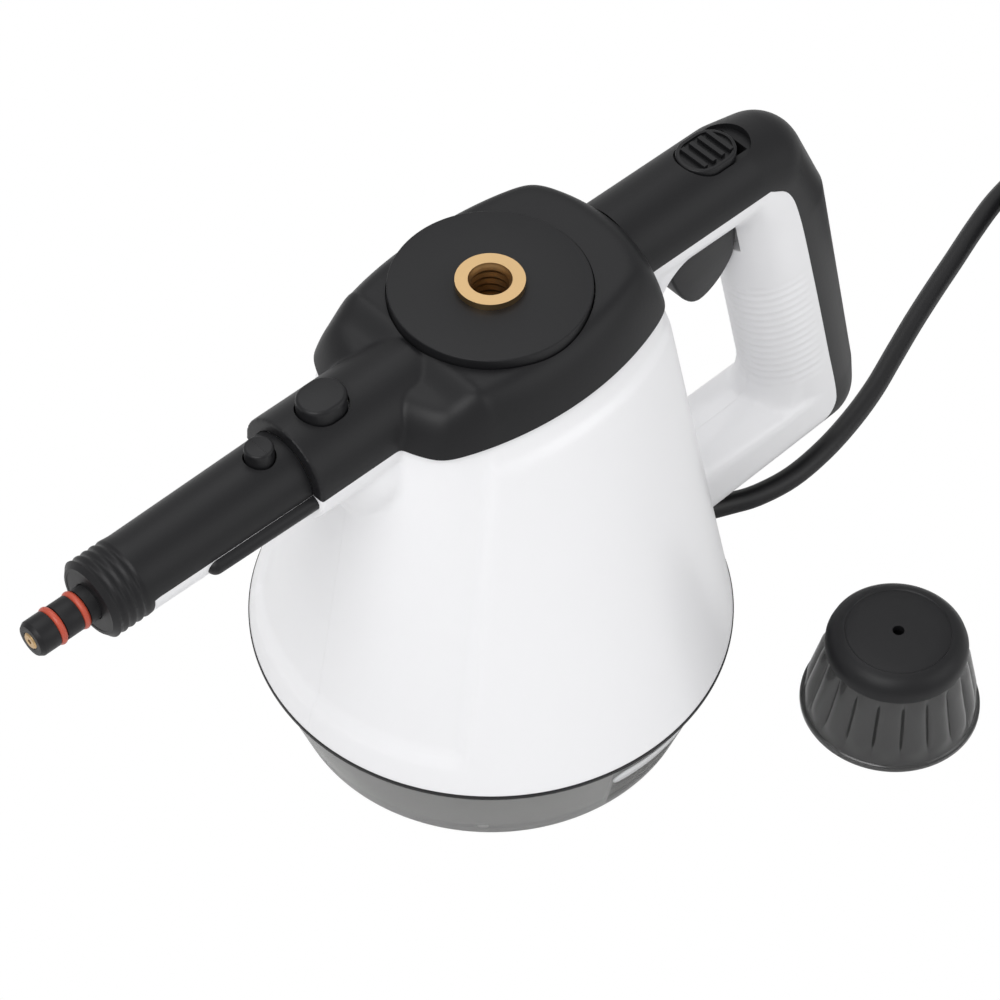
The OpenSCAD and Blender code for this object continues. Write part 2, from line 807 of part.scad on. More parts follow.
module trigger() {
  color(black) difference() {
    union() {
      translate([pivot_x, trigger_w / 2, pivot_z]) rotate([90, 0, 0]) cylinder(r = 4, h = trigger_w);
      translate([0, trigger_w / 2, 0]) rotate([90, 0, 0]) linear_extrude(trigger_w)
        polygon([[pivot_x - 2, pivot_z - 3.5], [pivot_x + 1, pivot_z + 4], [pivot_x + 27, pivot_z + 4],
                 [pivot_x + 28, part_z - 25], [pivot_x + 26, part_z - 32], [pivot_x + 20, part_z - 38],
                 [pivot_x + 13, part_z - 40], [pivot_x + 7, part_z - 35], [pivot_x + 2, part_z - 25]]);
      // arm that pushes the rod
      translate([pivot_x - 7.3, -2.5, pivot_z]) cube([9, 5, lever_reach + 2]);
      translate([pivot_x - 7.3, -2.5, pivot_z - 2]) cube([9, 5, 4]);
    }
    translate([pivot_x, far / 2, pivot_z]) rotate([90, 0, 0]) cylinder(r = pin_r + run_clear, h = far);
  }
}

module trigger_pin() {
  color(steel) translate([pivot_x, pin_half, pivot_z]) rotate([90, 0, 0])
    cylinder(r = pin_r, h = 2 * pin_half);
}

module trigger_spring() {
  color(steel) translate([pivot_x + 10, 0, pivot_z + 4.1])
    coil_spring(3, 0.45, 5, slide_pocket_z - 1.7 - pivot_z - 4.1);
}

// ---------- switch and release ----------

module lock_slide() {
  color(black) {
    translate([slide_x + slide_l / 2, 0, slide_pocket_z + 0.1]) oval(slide_l, slide_w, 3.4);
    for (i = [0:3])
      translate([slide_x + 4 + i * 3.2, -slide_w / 2 + 2.5, slide_pocket_z + 3])
        cube([1.4, slide_w - 5, 1.4]);
    translate([slide_x + 5, -2.4, slide_pocket_z - 4]) cube([slide_l - 10, 4.8, 4.5]);
  }
}

module release_button() {
  color(black) translate([button_x, 0, catch_bar_z + catch_bar_t])
    oval(button_l, button_w, button_top_z - catch_bar_z - catch_bar_t);
}

module catch_slide() {
  color(black) {
    translate([catch_x, 0, catch_bar_z]) cylinder(r = catch_r, h = catch_top_z - catch_bar_z);
    translate([catch_x, -2.5, catch_bar_z]) cube([button_x + 6 - catch_x, 5, catch_bar_t]);
  }
}

module catch_spring() {
  color(steel) translate([button_x, 0, part_z + pipe_r + 0.4])
    coil_spring(2, 0.4, 3, catch_bar_z - part_z - pipe_r - 0.6);
}

// ---------- base ----------

module lens_cut(grow) {
  translate([0, -40, lens_z]) rotate([90, 0, 0]) linear_extrude(60) hull() {
    for (s = [-1, 1])
      translate([s * (lens_l - lens_h) / 2, 0]) circle(r = lens_h / 2 + grow, $fn = 32);
  }
}

module base_skirt() {
  color(smoke) difference() {
    union() {
      rotate_extrude($fn = 128) polygon([
        [base_r - skirt_wall, 0], [base_r, 0], [base_r + skirt_slope * rim_z, rim_z - 0.8],
        [base_r + skirt_slope * rim_z - skirt_wall, rim_z - 0.8],
        [base_r - skirt_wall + skirt_slope * (plate_t + 3), plate_t + 3],
        [base_r - 9, plate_t + 3], [base_r - 9, plate_t], [base_r - skirt_wall, plate_t]]);
      for (a = [45:90:315])
        rotate([0, 0, a]) translate([base_screw_orbit, 0, plate_t])
          cylinder(r = base_boss_r, h = rim_z - plate_t);
    }
    for (a = [45:90:315])
      rotate([0, 0, a]) translate([base_screw_orbit, 0, -1]) cylinder(r = base_screw_r + fit_gap, h = far);
    lens_cut(0);
    translate([50, gland_y, gland_z]) rotate([0, 90, 0]) cylinder(r = 5 + fit_gap, h = 40);
  }
}

module rim_ring() {
  color(black) difference() {
    translate([0, 0, rim_z - 0.8]) cylinder(r = rim_r + 0.3, h = 0.8, $fn = 128);
    cylinder(r = rim_r - 3, h = far, $fn = 128);
    translate([foot_bar_in - 12, -grip_b - fit_gap, 0]) cube([40, 2 * (grip_b + fit_gap), far]);
  }
}

module base_plate() {
  color(black) difference() {
    union() {
      cylinder(r = base_r - skirt_wall - fit_gap, h = plate_t, $fn = 128);
      post_ring() cylinder(r = post_r, h = boiler_z - flange_t);
      // nest of the terminal block and saddle of the cord clamp
      translate([34, -14, 0]) cube([12, 22, plate_t + 2]);
    }
    for (a = [45:90:315])
      rotate([0, 0, a]) translate([base_screw_orbit, 0, -1]) {
        cylinder(r = base_screw_r + fit_gap, h = 10);
        cylinder(r = 3.2, h = 2.2);
      }
    for (a = [0:90:270])
      rotate([0, 0, a]) translate([foot_orbit, 0, -1]) cylinder(r = foot_r + fit_gap, h = foot_t + 1);
  }
}

module base_feet() {
  color([0.15, 0.15, 0.15]) for (a = [0:90:270])
    rotate([0, 0, a]) translate([foot_orbit, 0, 0]) cylinder(r = foot_r, h = foot_t);
}

module base_screws() {
  color(steel) for (a = [45:90:315])
    rotate([0, 0, a]) translate([base_screw_orbit, 0, 0]) difference() {
      union() {
        translate([0, 0, 0.2]) cylinder(r = 2.9, h = 1);
        translate([0, 0, 1.2]) cylinder(r = base_screw_r - 0.02, h = rim_z + 14);
      }
      translate([0, 0, -0.5]) cylinder(r = 1.2, h = 1.3);
    }
}

module lamp_lens() {
  color([0.85, 0.85, 0.85, 0.7]) intersection() {
    lens_cut(-fit_gap);
    rotate_extrude($fn = 128) polygon([
      [base_r - lens_t - 0.4, 0], [base_r + 0.2, 0], [base_r + skirt_slope * rim_z + 0.2, rim_z - 1],
      [base_r + skirt_slope * rim_z - lens_t - 0.4, rim_z - 1]]);
  }
}

module lamp_board() {
  color([0.2, 0.45, 0.25]) translate([-11, -58, plate_t + 3]) cube([22, 1.6, 22]);
}

module pilot_lamp() {
  color([0.9, 0.3, 0.15]) translate([0, -58, lens_z]) rotate([90, 0, 0]) {
    cylinder(r = 2.5, h = 4);
    translate([0, 0, 4]) sphere(r = 2.5);
  }
}

module terminal_block() {
  color([0.9, 0.9, 0.86]) translate([35, -13, plate_t + 2]) difference() {
    cube([10, 20, 9]);
    for (i = [0:2])
      translate([5, 3.5 + 6.5 * i, 3]) cylinder(r = 1.6, h = 8);
  }
}

module cord_clamp() {
  color(black) translate([47.5, -11, plate_t]) difference() {
    cube([5, 16, 12]);
    translate([-1, 8, 4.5]) rotate([0, 90, 0]) cylinder(r = cord_r - 0.2, h = 8);
  }
}

// ---------- cord ----------

module at_gland(x) {
  translate([x, gland_y, gland_z]) rotate([0, 90, 0]) children();
}

module cord_gland() {
  color(black) {
    difference() {
      union() {
        // cord inside the case, as far as the terminal block
        at_gland(46.2) cylinder(r = cord_r - 0.3, h = 12);
        at_gland(58) cylinder(r = 5, h = 12);
        at_gland(gland_out_x) cylinder(r1 = 6.4, r2 = 4.9, h = lead_route[0][0] - gland_out_x);
      }
      // clear of the plate
      translate([50, -20, -5]) cube([11.2, 40, 5 + plate_t + fit_gap]);
    }
    // flange inside the wall, above the skirt's foot
    difference() {
      at_gland(56) cylinder(r = 7, h = 2.4);
      translate([50, -20, -5]) cube([11.2, 40, 8 + plate_t + fit_gap]);
    }
  }
}

module cord_lead() {
  color(black) swept_tube(lead_route, cord_r, 10);
}

module cord_coil() {
  color(black) translate([coil_x, coil_y, 0]) rotate_extrude($fn = 96)
    translate([coil_mid_r - coil_w / 2, 0]) square([coil_w, coil_h]);
}

module cord_tail() {
  color(black) swept_tube(tail_route, cord_r, 10);
}

module coil_tie() {
  tie_t = 1.2;
  tie_gap = 0.6;
  color([0.12, 0.12, 0.12]) translate([coil_x + coil_mid_r, coil_y, 0]) difference() {
    translate([-coil_w / 2 - tie_t - tie_gap, -5, 0])
      cube([coil_w + 2 * (tie_t + tie_gap), 10, coil_h + tie_t]);
    translate([-coil_w / 2 - tie_gap, -6, -1]) cube([coil_w + 2 * tie_gap, 12, coil_h + 1]);
  }
}

module at_plug() {
  translate([plug_end_x - relief_l - plug_l, plug_y, plug_z]) children();
}

module plug_body() {
  color(black) at_plug() {
    rotate([0, 90, 0]) linear_extrude(plug_l) intersection() {
      circle(r = 18.5);
      square([26, 60], center = true);
    }
    translate([plug_l, 0, 0]) rotate([0, 90, 0]) cylinder(r1 = 9, r2 = 5, h = relief_l);
  }
}

module plug_pins() {
  color(steel) at_plug() for (s = [-1, 1])
    translate([-pin_l, s * 9.5, 0]) rotate([0, 90, 0]) cylinder(r = 2.4, h = pin_l);
}

module plug_earth_clips() {
  color(steel) at_plug() for (s = [-1, 1])
    translate([1, -2, s * 13.25 - 0.25]) cube([14, 4, 0.5]);
}

// ---------- cap ----------

module at_cap() {
  translate([cap_x, cap_y, 0]) children();
}

module cap_skirt() {
  color(smoke) at_cap() difference() {
    union() {
      cylinder(r1 = cap_r, r2 = cap_r - 0.3, h = 1.6, $fn = 96);
      cylinder(r1 = cap_r - 1.2, r2 = cap_low_r - 0.6, h = cap_skirt_h, $fn = 96);
      for (i = [0:cap_flutes - 1])
        rotate([0, 0, i * 360 / cap_flutes]) translate([cap_r - 2, 0, 1.4])
          rotate([0, -atan((cap_r - cap_low_r) / cap_skirt_h), 0]) cylinder(r = 1.5, h = cap_skirt_h - 5);
    }
    translate([0, 0, -thin]) cylinder(r1 = cap_r - 1.2 - cap_wall, r2 = cap_low_r - 0.6 - cap_wall,
                                      h = cap_skirt_h + 2 * thin, $fn = 96);
  }
}

module cap_top() {
  color(black) at_cap() difference() {
    rotate_extrude($fn = 96) polygon([
      [0, cap_h - cap_wall - 0.4], [cap_top_r - 2, cap_h - cap_wall - 0.4], [cap_low_r - cap_wall, cap_skirt_h + 3],
      [cap_low_r - cap_wall, cap_skirt_h], [cap_low_r, cap_skirt_h], [cap_low_r, cap_skirt_h + 2.6],
      [cap_top_r + 2.2, cap_h - 1.4], [cap_top_r, cap_h], [0, cap_h]]);
    translate([0, 0, cap_h - 6]) cylinder(r = vent_r, h = 10);
  }
}

module cap_core() {
  color(black) at_cap() difference() {
    union() {
      translate([0, 0, 5]) cylinder(r = core_r, h = 14);
      translate([0, 0, core_flange_z]) cylinder(r = core_flange_r, h = core_flange_t);
      translate([0, 0, core_flange_z + core_flange_t]) cylinder(r = 5, h = cap_h - cap_wall - 0.7 - core_flange_z
                                                                  - core_flange_t);
    }
    translate([0, 0, 4]) cylinder(r = 1.6, h = 40);
    translate([0, 0, 12]) cylinder(r = 3.05, h = 40);
  }
}

module cap_gasket() {
  color(seal_red) at_cap() difference() {
    translate([0, 0, core_flange_z - 2]) cylinder(r = core_flange_r - 1, h = 2);
    translate([0, 0, core_flange_z - 3]) cylinder(r = core_r + 0.05, h = 4);
  }
}

module relief_plunger() {
  color(brass) at_cap() translate([0, 0, 12.2]) {
    cylinder(r = 3, h = 3);
    cylinder(r = 1.2, h = 9);
  }
}

module relief_spring() {
  color(steel) at_cap() translate([0, 0, 15.4]) coil_spring(2.1, 0.35, 5, 13);
}

body_shell_left();
body_shell_right();
top_cover();
handle_strip();
nozzle_barrel();
nozzle_tip();
tip_orings();
steam_jet();
filler_disc();
filler_neck();
neck_gasket();
boiler_upper();
boiler_lower();
boiler_gasket();
boiler_screws();
heater_terminals();
thermostat();
thermal_fuse();
valve_body();
valve_stem();
valve_spring();
push_rod();
steam_pipe();
trigger();
trigger_pin();
trigger_spring();
lock_slide();
release_button();
catch_slide();
catch_spring();
base_skirt();
rim_ring();
base_plate();
base_feet();
base_screws();
lamp_lens();
lamp_board();
pilot_lamp();
terminal_block();
cord_clamp();
cord_gland();
cord_lead();
cord_coil();
cord_tail();
coil_tie();
plug_body();
plug_pins();
plug_earth_clips();
cap_top();
cap_skirt();
cap_core();
cap_gasket();
relief_plunger();
relief_spring();
shell_screws();
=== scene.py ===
"""Looks of the steam generator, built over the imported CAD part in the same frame, in metres."""
import bpy
import bmesh
import json
import math
from mathutils import Matrix, Vector


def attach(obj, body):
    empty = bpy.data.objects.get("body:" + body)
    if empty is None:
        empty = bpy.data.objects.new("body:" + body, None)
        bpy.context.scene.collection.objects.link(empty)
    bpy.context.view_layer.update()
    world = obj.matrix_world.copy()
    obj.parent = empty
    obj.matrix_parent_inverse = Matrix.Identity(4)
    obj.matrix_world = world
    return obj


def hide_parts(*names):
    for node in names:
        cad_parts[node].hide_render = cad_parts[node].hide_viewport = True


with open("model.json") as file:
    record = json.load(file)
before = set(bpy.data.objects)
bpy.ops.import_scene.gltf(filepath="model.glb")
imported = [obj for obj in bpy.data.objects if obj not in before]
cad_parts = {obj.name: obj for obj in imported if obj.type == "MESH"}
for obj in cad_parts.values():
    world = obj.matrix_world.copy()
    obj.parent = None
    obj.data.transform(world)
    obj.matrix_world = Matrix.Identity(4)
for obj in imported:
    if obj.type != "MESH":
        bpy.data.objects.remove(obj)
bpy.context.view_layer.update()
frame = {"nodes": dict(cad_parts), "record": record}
scene = bpy.context.scene
MM = 0.001

# ---------------------------------------------------------------- camera
# A long lens from the front left, well above the object, without roll.
camera = bpy.data.objects.new("camera", bpy.data.cameras.new("camera"))
scene.collection.objects.link(camera)
camera.location = (-0.4873, -0.5318, 0.9294)
camera.rotation_euler = Vector((0.4397, 0.4762, -0.7615)).to_track_quat("-Z", "Y").to_euler()
camera.data.lens = 134.19
camera.data.sensor_width = 36
scene.camera = camera
scene.render.resolution_x = 1000
scene.render.resolution_y = 1000
scene.view_settings.view_transform = "Standard"


# Every finish is a procedural principled shader that reads object coordinates.
def finish_of(name, color, rough, metal=0.0, clear=0.0, grain=900, bump=0.05, coat=0.0, vary=0.04, gloss=0.5):
    mat = bpy.data.materials.new(name)
    mat.use_nodes = True
    tree = mat.node_tree
    shader = tree.nodes["Principled BSDF"]
    coords = tree.nodes.new("ShaderNodeTexCoord")
    noise = tree.nodes.new("ShaderNodeTexNoise")
    noise.inputs["Scale"].default_value = grain
    noise.inputs["Detail"].default_value = 3
    tree.links.new(coords.outputs["Object"], noise.inputs["Vector"])
    bumps = tree.nodes.new("ShaderNodeBump")
    bumps.inputs["Strength"].default_value = bump
    bumps.inputs["Distance"].default_value = 0.0002
    tree.links.new(noise.outputs["Fac"], bumps.inputs["Height"])
    tree.links.new(bumps.outputs["Normal"], shader.inputs["Normal"])
    cloud = tree.nodes.new("ShaderNodeTexNoise")
    cloud.inputs["Scale"].default_value = 14
    tree.links.new(coords.outputs["Object"], cloud.inputs["Vector"])
    spread = tree.nodes.new("ShaderNodeMapRange")
    spread.inputs["To Min"].default_value = rough - vary
    spread.inputs["To Max"].default_value = rough + vary
    tree.links.new(cloud.outputs["Fac"], spread.inputs["Value"])
    tree.links.new(spread.outputs["Result"], shader.inputs["Roughness"])
    shader.inputs["Base Color"].default_value = (*color, 1)
    shader.inputs["Metallic"].default_value = metal
    shader.inputs["Transmission Weight"].default_value = clear
    shader.inputs["Coat Weight"].default_value = coat
    shader.inputs["Specular IOR Level"].default_value = gloss
    shader.inputs["Coat Roughness"].default_value = 0.25
    return mat


black = finish_of("black_casing", (0.009, 0.009, 0.01), 0.44, bump=0.12, gloss=0.24)
black_button = finish_of("black_button", (0.009, 0.009, 0.01), 0.4, bump=0.08, gloss=0.25)
black_rubber = finish_of("black_rubber", (0.01, 0.01, 0.011), 0.6, bump=0.1, gloss=0.25)
cord_black = finish_of("cord_black", (0.01, 0.01, 0.011), 0.4, bump=0.05, gloss=0.35)
white = finish_of("white_casing", (0.8, 0.8, 0.815), 0.3, bump=0.03, coat=0.1)
smoke = finish_of("smoke_clear", (0.55, 0.55, 0.54), 0.1, clear=0.8, bump=0.03)
cap_smoke = finish_of("cap_smoke", (0.1, 0.1, 0.1), 0.2, clear=0.7, bump=0.03)
lens_clear = finish_of("lens_clear", (0.86, 0.87, 0.88), 0.3, clear=0.25, bump=0.03)
brass = finish_of("brass", (0.52, 0.355, 0.18), 0.36, metal=1.0, grain=400, bump=0.04)
steel = finish_of("steel", (0.62, 0.62, 0.64), 0.3, metal=1.0, grain=400, bump=0.04)
cast_alloy = finish_of("cast_alloy", (0.5, 0.51, 0.53), 0.45, metal=1.0, grain=500, bump=0.3)
red_seal = finish_of("red_seal", (0.42, 0.06, 0.03), 0.42, bump=0.05)
tan_silicone = finish_of("tan_silicone", (0.7, 0.4, 0.25), 0.5)
board_green = finish_of("board_green", (0.03, 0.14, 0.05), 0.45)
lamp_orange = finish_of("lamp_orange", (0.8, 0.16, 0.05), 0.25, clear=0.4)
terminal_cream = finish_of("terminal_cream", (0.8, 0.78, 0.68), 0.5)
black_tray = finish_of("black_tray", (0.03, 0.03, 0.032), 0.55)
finishes = {m.name.split(".")[0]: m for m in (
    black, black_button, black_rubber, cord_black, white, smoke, lens_clear, brass, steel, cast_alloy, red_seal,
    tan_silicone, board_green, lamp_orange, terminal_cream, black_tray)}


# A bmesh drawn in millimetres becomes a piece in metres that rides on a body and stands for CAD nodes.
def piece(name, bm, body, slot, *nodes, smooth=40):
    bmesh.ops.recalc_face_normals(bm, faces=bm.faces)
    bmesh.ops.scale(bm, vec=(MM, MM, MM), verts=bm.verts)
    mesh = bpy.data.meshes.new(name)
    bm.to_mesh(mesh)
    bm.free()
    obj = bpy.data.objects.new(name, mesh)
    scene.collection.objects.link(obj)
    if smooth:
        mesh.polygons.foreach_set("use_smooth", [True] * len(mesh.polygons))
        mesh.set_sharp_from_angle(angle=math.radians(smooth))
    if slot:
        mesh.materials.append(finishes[slot])
    if body:
        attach(obj, body)
    if nodes:
        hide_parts(*nodes)
    return obj


# ---------------------------------------------------------------- cord
# One continuous mains cord: gland, visible run, tied coil outside the view, plug.
def eased(points, step):
    """A smooth curve through the points, sampled about every step."""
    pts = [Vector(p) for p in points]
    ends = [2 * pts[0] - pts[1]] + pts + [2 * pts[-1] - pts[-2]]
    out = []
    for i in range(1, len(ends) - 2):
        a, b, c, d = ends[i - 1:i + 3]
        count = max(2, round((c - b).length / step))
        for k in range(count):
            t = k / count
            out.append(0.5 * (2 * b + (c - a) * t + (2 * a - 5 * b + 4 * c - d) * t * t
                              + (3 * b - a - 3 * c + d) * t ** 3))
    return out + [pts[-1]]


cord_d = 7.3
lead = [(90, -3, 7.5), (100, -5.5, 5.2), (110, -8.5, 4), (124, -10.5, 3.7), (140, -9.5, 3.7), (156, -6.5, 3.7),
        (172, -2, 3.7), (188, 4, 3.7), (204, 10, 3.7), (220, 15.5, 3.7), (236, 20.7, 3.7), (252, 26, 3.7),
        (268, 30.5, 3.7), (284, 32.8, 3.7), (299, 32.3, 3.7)]
tail = [(364.3, -32, 25.7), (364.3, -42, 25.5), (364.3, -52.5, 24.4), (362.3, -64.9, 22.4), (356.7, -76, 19.8),
        (347.8, -84.9, 17), (336.7, -90.5, 14.5), (322, -92.5, 13)]
# Each jog to the next column and each climb to the next layer has its own 30 degree zone of the coil.
column, layer = 7.35, 7.35
coil_x, coil_y, coil_r, coil_z = 317, -15, 40, 3.7
turn_end = 4044
moves = [(660, -1, 0), (300, -1, 0), (990, 0, 1), (1320, 1, 0), (1680, 1, 0), (2010, 0, 1), (2340, -1, 0),
         (2700, -1, 0), (3030, 0, 1), (3360, 1, 0), (3720, 1, 0)]
winding = []
for turned in range(6, turn_end, 6):
    r, z = coil_r + column, coil_z
    for start, across, up in moves:
        share = min(max((turned - start) / 30, 0), 1)
        share = share * share * (3 - 2 * share)
        r += across * column * share
        z += up * layer * share
    a = math.radians(90 - turned)
    winding.append((coil_x + r * math.cos(a), coil_y + r * math.sin(a), z))
route = [Vector(p) * MM for p in eased(lead, 3) + [Vector(p) for p in winding] + eased(tail, 3)[1:]]
curve = bpy.data.curves.new("mains_cord", "CURVE")
curve.dimensions = "3D"
line = curve.splines.new("POLY")
line.points.add(len(route) - 1)
for point, place in zip(line.points, route):
    point.co = (*place, 1)
curve.bevel_depth = cord_d / 2 * MM
curve.bevel_resolution = 4
curve.use_fill_caps = True
cord = bpy.data.objects.new("mains_cord", curve)
scene.collection.objects.link(cord)
curve.materials.append(cord_black)
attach(cord, "root")
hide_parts("cord_lead", "cord_coil", "cord_tail")


# ---------------------------------------------------------------- skirt, rim ring and lens
# Turned parts are spun from a closed profile in (radius, height), then laid along an axis.
def lathe(profile, steps=192, place=Matrix()):
    bm = bmesh.new()
    verts = [bm.verts.new((r, 0, z)) for r, z in profile]
    edges = [bm.edges.new((verts[i], verts[(i + 1) % len(verts)])) for i in range(len(verts))]
    bmesh.ops.spin(bm, geom=verts + edges, cent=(0, 0, 0), axis=(0, 0, 1), angle=math.tau, steps=steps)
    bmesh.ops.remove_doubles(bm, verts=bm.verts, dist=0.0005)
    bmesh.ops.delete(bm, geom=[e for e in bm.edges if not e.link_faces], context="EDGES")
    bmesh.ops.transform(bm, matrix=place, verts=bm.verts)
    return bm


def rounded(profile, r, steps=4):
    """The profile with its corners rounded to about r."""
    out = []
    for i, p in enumerate(profile):
        p = Vector(p)
        a, b = Vector(profile[i - 1]) - p, Vector(profile[(i + 1) % len(profile)]) - p
        if p.x < 0.01 or min(a.length, b.length) < 0.02:
            out.append(tuple(p))
            continue
        k = min(r, a.length * 0.45, b.length * 0.45)
        s, e = p + a.normalized() * k, p + b.normalized() * k
        for j in range(steps + 1):
            t = j / steps
            out.append(tuple(s * (1 - t) ** 2 + p * 2 * t * (1 - t) + e * t * t))
    return out


def carve(obj, tool, how="DIFFERENCE"):
    """Applies one boolean with a bmesh drawn in millimetres."""
    cutter = piece("tool", tool, None, None, smooth=0)
    mod = obj.modifiers.new("carve", "BOOLEAN")
    mod.object = cutter
    mod.operation = how
    mod.solver = "MANIFOLD"
    deps = bpy.context.evaluated_depsgraph_get()
    mesh = bpy.data.meshes.new_from_object(obj.evaluated_get(deps))
    obj.modifiers.clear()
    old = obj.data
    obj.data = mesh
    mesh.name = old.name
    bpy.data.objects.remove(cutter)


def swallow(bm, other):
    """Joins the other bmesh into bm."""
    mesh = bpy.data.meshes.new("part")
    other.to_mesh(mesh)
    other.free()
    bm.from_mesh(mesh)
    bpy.data.meshes.remove(mesh)


def cube(lo, hi):
    bm = bmesh.new()
    lo, hi = Vector(lo), Vector(hi)
    bmesh.ops.create_cube(bm, size=1)
    bmesh.ops.scale(bm, vec=hi - lo, verts=bm.verts)
    bmesh.ops.translate(bm, vec=(lo + hi) / 2, verts=bm.verts)
    return bm


def along_x(x, z=156.0, y=0.0):
    return Matrix.Translation((x, y, z)) @ Matrix.Rotation(math.pi / 2, 4, "Y")


def rod(r, length, place, r2=None, steps=64):
    bm = bmesh.new()
    bmesh.ops.create_cone(bm, cap_ends=True, segments=steps, radius1=r, radius2=r if r2 is None else r2, depth=length)
    bmesh.ops.translate(bm, vec=(0, 0, length / 2), verts=bm.verts)
    bmesh.ops.transform(bm, matrix=place, verts=bm.verts)
    return bm


rim_r, rim_z, part_z, base_r = 74.5, 34.4, 156.0, 63.2
slope = (rim_r - 0.3 - base_r) / rim_z
skirt = piece("skirt_shell", lathe(rounded([
    (base_r - 2.2, 0), (base_r, 0), (base_r + slope * (rim_z - 1.6), rim_z - 1.6),
    (base_r + slope * (rim_z - 1.6) - 2.2, rim_z - 1.6),
    (base_r - 2.2 + slope * 6, 6), (54.2, 6), (54.2, 3), (base_r - 2.2, 3)], 0.6)), "root", "smoke_clear", "base_skirt")


def oval(l, w, h, place=Matrix(), bevel=0.0, steps=24):
    bm = bmesh.new()
    ring = []
    for s in (1, -1):
        for k in range(steps + 1):
            a = math.radians(-90 + 180 * k / steps) + (0 if s > 0 else math.pi)
            ring.append(bm.verts.new((s * (l - w) / 2 + w / 2 * math.cos(a), w / 2 * math.sin(a), 0)))
    face = bm.faces.new(ring)
    top = bmesh.ops.extrude_face_region(bm, geom=[face])
    bmesh.ops.translate(bm, vec=(0, 0, h), verts=[v for v in top["geom"] if isinstance(v, bmesh.types.BMVert)])
    if bevel:
        rim = [e for e in bm.edges if all(abs(v.co.z - h) < 1e-6 for v in e.verts)]
        bmesh.ops.bevel(bm, geom=rim, offset=bevel, segments=4, affect="EDGES", profile=0.5)
    bmesh.ops.transform(bm, matrix=place, verts=bm.verts)
    return bm


# Moulded ribs stand inside the skirt and show through it as darker upright shapes.
ribs = bmesh.new()
for k in range(16):
    turn = 11.25 + 22.5 * k
    if abs(turn - 270) < 15:
        continue
    lean = Matrix.Rotation(math.radians(turn), 4, "Z") @ Matrix.Translation((base_r - 2.3, 0, 6)) @ Matrix.Rotation(
        math.atan(slope), 4, "Y")
    fin = cube((-4, -1.4, 1), (-0.3, 1.4, 26))
    bmesh.ops.transform(fin, matrix=lean, verts=fin.verts)
    swallow(ribs, fin)
piece("skirt_ribs", ribs, "root", "black_tray", smooth=0)
lens_place = Matrix.Translation((0, -40, 23)) @ Matrix.Rotation(math.pi / 2, 4, "X")
carve(skirt, oval(28, 8, 60, lens_place))
lens = piece("lens", lathe(rounded([
    (base_r - 2.4, 14), (base_r + slope * 14 + 0.2, 14), (base_r + slope * 31 + 0.2, 31), (base_r - 2.4 + slope * 17, 31)],
    0.1)), "root", "lens_clear", "lamp_lens")
carve(lens, oval(27.8, 7.8, 60, lens_place), "INTERSECT")
ring = piece("rim_band", lathe(rounded([(71.5, rim_z - 1.5), (rim_r + 0.3, rim_z - 1.5), (rim_r + 0.3, rim_z),
                                        (71.5, rim_z)], 0.2), 256), "root", "black_casing", "rim_ring")
carve(ring, cube((60, -15.1, 30), (90, 15.1, 40)))


# ---------------------------------------------------------------- white shells and handle strip
# One soft form for body and handle is remeshed so that its joins are filleted, then cut into the
# two white halves and the black strip, which share its surface exactly.
def shoulder(a, inset=0.0):
    """Plan radius of the shoulder in direction a: an end circle and two side circles, softly joined."""
    side_r, c = 105 - inset, 105 - 37.3
    u = abs(math.sin(a))
    side = -u * c + math.sqrt((u * c) ** 2 + side_r ** 2 - c * c)
    end = 51.5 - inset
    k = 1.1
    return -k * math.log(math.exp(-side / k) + math.exp(-end / k))


def smooth_step(x):
    x = min(max(x, 0), 1)
    return x * x * (3 - 2 * x)


def loft(rings):
    """A closed form bridged through rings of points."""
    bm = bmesh.new()
    loops = []
    for points in rings:
        verts = [bm.verts.new(p) for p in points]
        loops.append([bm.edges.new((verts[i], verts[(i + 1) % len(verts)])) for i in range(len(verts))])
    for a, b in zip(loops, loops[1:]):
        bmesh.ops.bridge_loops(bm, edges=a + b)
    bmesh.ops.contextual_create(bm, geom=loops[0])
    bmesh.ops.contextual_create(bm, geom=loops[-1])
    bmesh.ops.triangulate(bm, faces=[f for f in bm.faces if len(f.verts) > 4])
    return bm


def body_rings(inset, low, high, panel, count=240, levels=60):
    rings = []
    for j in range(levels + 1):
        z = low + (high - low) * j / levels
        t = (z - rim_z) / (part_z - rim_z)
        points = []
        for i in range(count):
            a = math.tau * i / count
            r = (rim_r - inset) * (1 - t) + shoulder(a, inset) * t
            if panel:
                off = abs(math.degrees(math.atan2(math.sin(a), -math.cos(a))))
                edge = 42 + (z - 71) * 0.076
                front = smooth_step((edge - off) / 3.6 + 0.5) * smooth_step((z - 43) / 6)
                band = smooth_step((z - 146.2) / 2.6)
                r -= 2.2 * max(front, 0.7 * band)
            points.append((r * math.cos(a), r * math.sin(a), z))
        rings.append(points)
    return rings


def hull_of(*points):
    bm = bmesh.new()
    for p in points:
        bm.verts.new(p)
    made = bmesh.ops.convex_hull(bm, input=bm.verts)
    loose = {v for v in made["geom_interior"] + made["geom_unused"] if isinstance(v, bmesh.types.BMVert)}
    bmesh.ops.delete(bm, geom=list(loose), context="VERTS")
    return bm


def ball(x, y, z, r, n=24):
    return [(x + r * math.sin(p) * math.cos(a), y + r * math.sin(p) * math.sin(a), z + r * math.cos(p))
            for p in [math.pi * i / n for i in range(n + 1)] for a in [math.tau * k / (2 * n) for k in range(2 * n)]]


def grip_ring(x, z, n=72):
    return [(x + 20 * math.cos(a), 15 * math.sin(a), z) for a in [math.tau * i / n for i in range(n)]]


def foot_ring(x):
    return [(x, sy * (8 + 7 * math.cos(a)), 32.5 + sz * (5.5 + 7 * math.sin(a)))
            for sy in (1, -1) for sz in (1, -1) for a in [math.radians(9 * i) for i in range(11)]]


